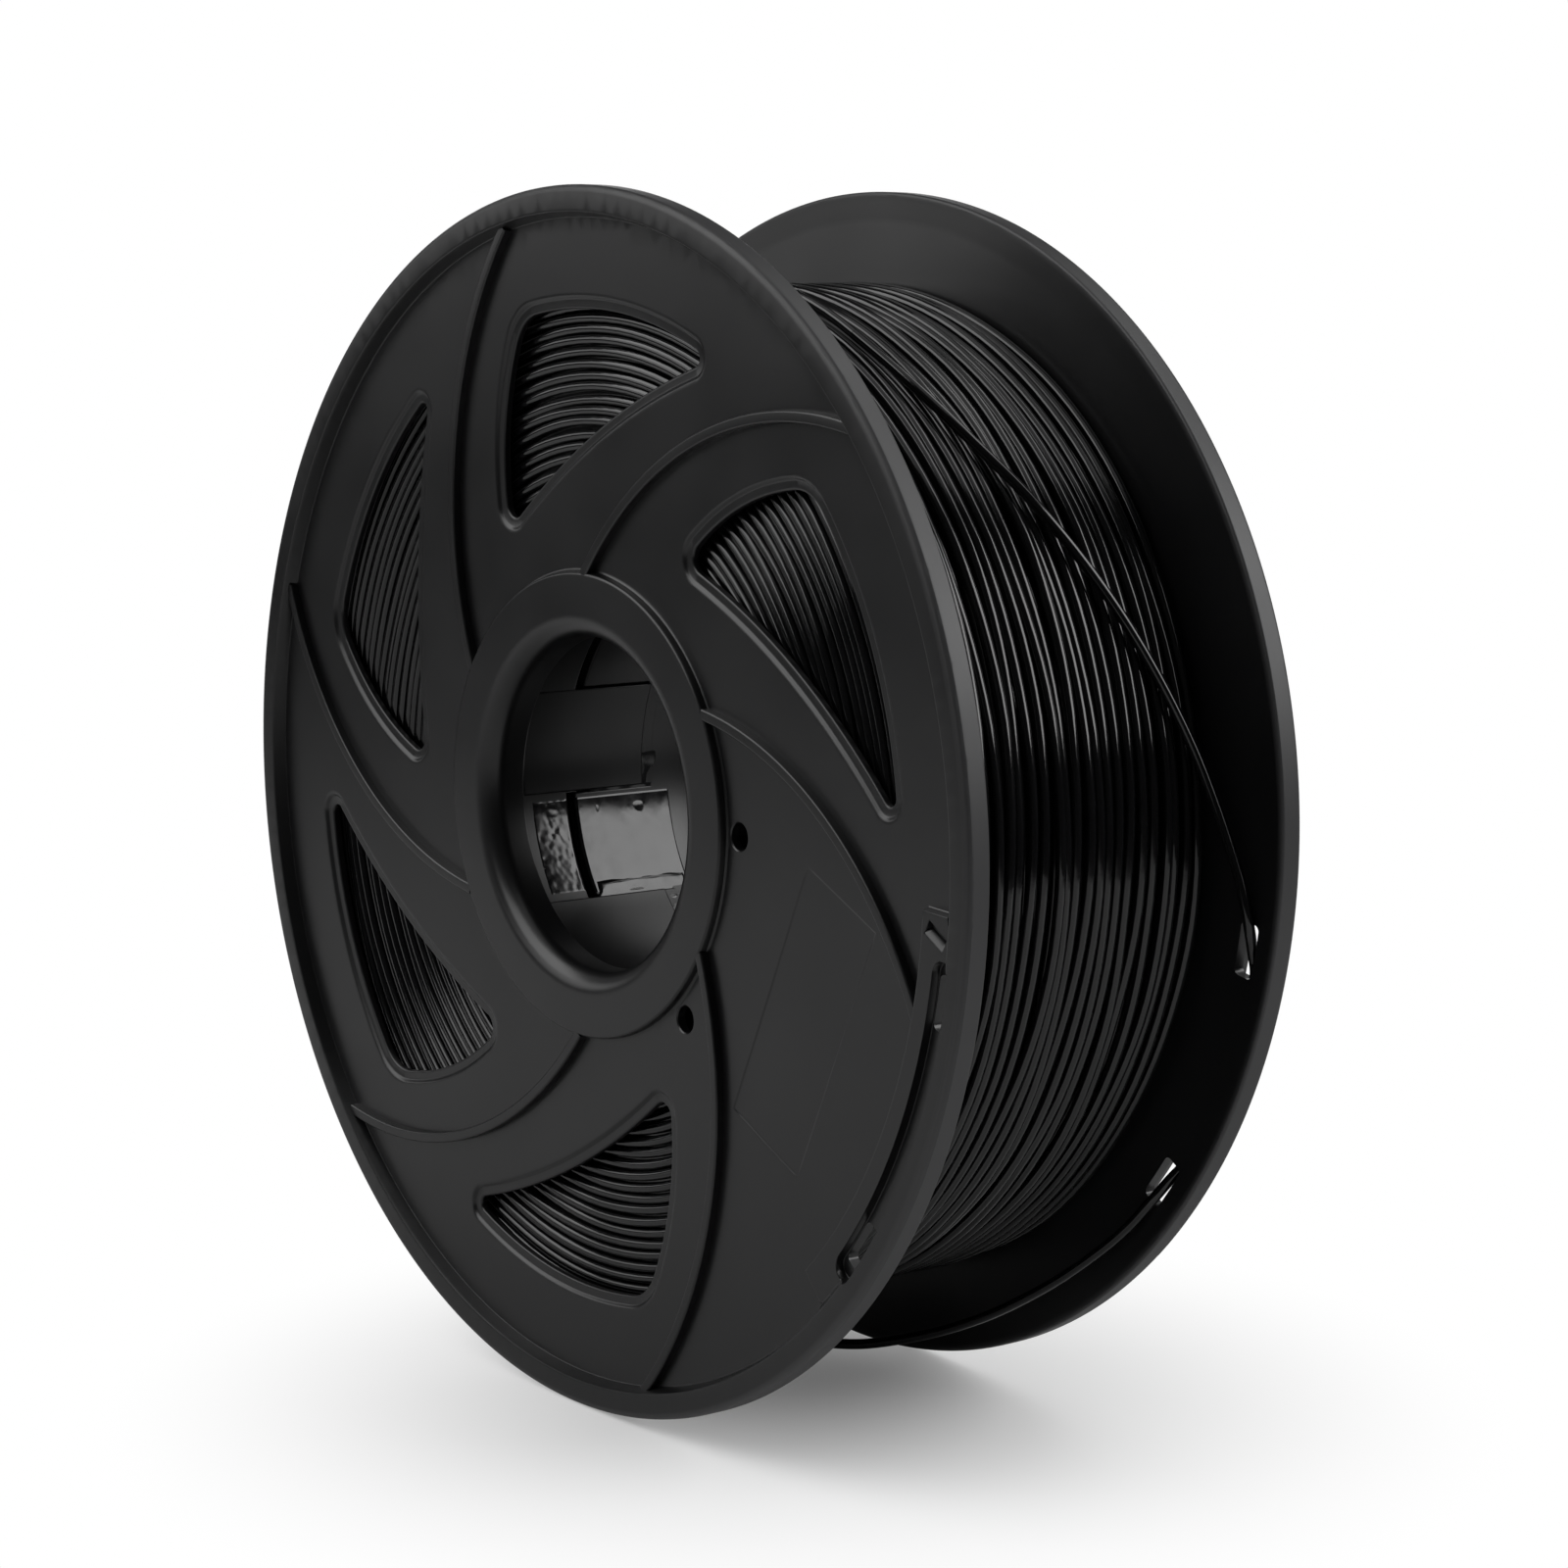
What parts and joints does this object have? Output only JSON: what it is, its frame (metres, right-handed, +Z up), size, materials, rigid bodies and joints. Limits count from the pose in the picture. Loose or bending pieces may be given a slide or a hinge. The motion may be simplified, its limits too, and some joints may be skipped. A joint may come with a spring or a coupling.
{
  "type": "filament spool",
  "caption": "Round spool with dished, windowed flanges on a hollow drum, full of wound filament whose loose end is parked in slots at the rim.",
  "frame": {"origin": "centre of the bore, halfway between the two flanges", "axes": "+Z up with the spool standing on its rims, +Y along the bore from the front flange to the rear one, +X to the right of someone who looks at the front flange"},
  "size_m": [0.2, 0.067, 0.2],
  "materials": {
    "spool": "satin moulded plastic, near black",
    "filament": "smooth extruded plastic strand, black, semi-gloss"
  },
  "bodies": {
    "root": {"front_half_spool": "spool", "rear_half_spool": "spool", "filament_core": "filament", "filament_outer_turns": "filament", "filament_tail": "filament"}
  },
  "joints": []
}
